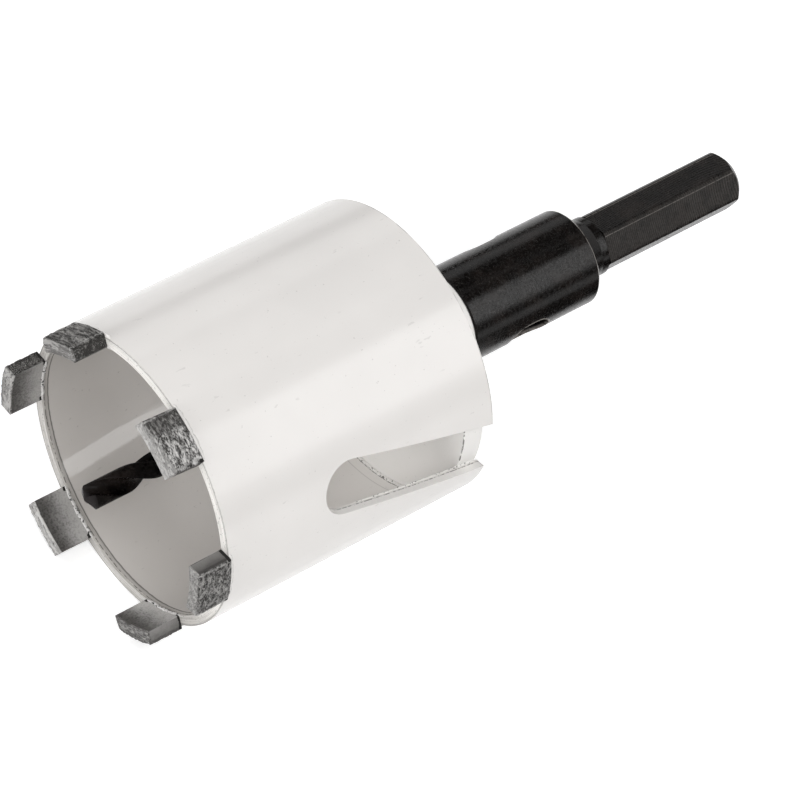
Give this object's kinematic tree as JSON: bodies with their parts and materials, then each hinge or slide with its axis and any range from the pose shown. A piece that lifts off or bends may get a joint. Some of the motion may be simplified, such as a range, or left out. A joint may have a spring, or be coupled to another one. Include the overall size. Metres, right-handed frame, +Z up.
{
  "type": "diamond core bit",
  "caption": "Dry diamond core bit: segmented thin barrel with a slanted window, back plate with threaded hub, slotted arbor with a hexagonal shank, and fluted pilot drill.",
  "frame": {"origin": "middle of the bit's box, on the floor it lies on", "axes": "+X along the bit's axis towards the shank, +Z up as the bit lies on its side, +Y to the left when looking along +X"},
  "size_m": [0.1722, 0.068, 0.0662],
  "materials": {
    "barrel_paint": "glossy paint",
    "plate_paint": "glossy paint",
    "diamond_matrix": "rough sintered",
    "black_oxide": "blackened, satin",
    "drill_oxide": "blackened, satin"
  },
  "bodies": {
    "root": {"barrel_tube": "barrel_paint", "back_plate": "plate_paint", "segment_1": "diamond_matrix", "segment_2": "diamond_matrix", "segment_3": "diamond_matrix", "segment_4": "diamond_matrix", "segment_5": "diamond_matrix", "segment_6": "diamond_matrix", "arbor": "black_oxide", "pilot_drill": "drill_oxide"}
  },
  "joints": []
}
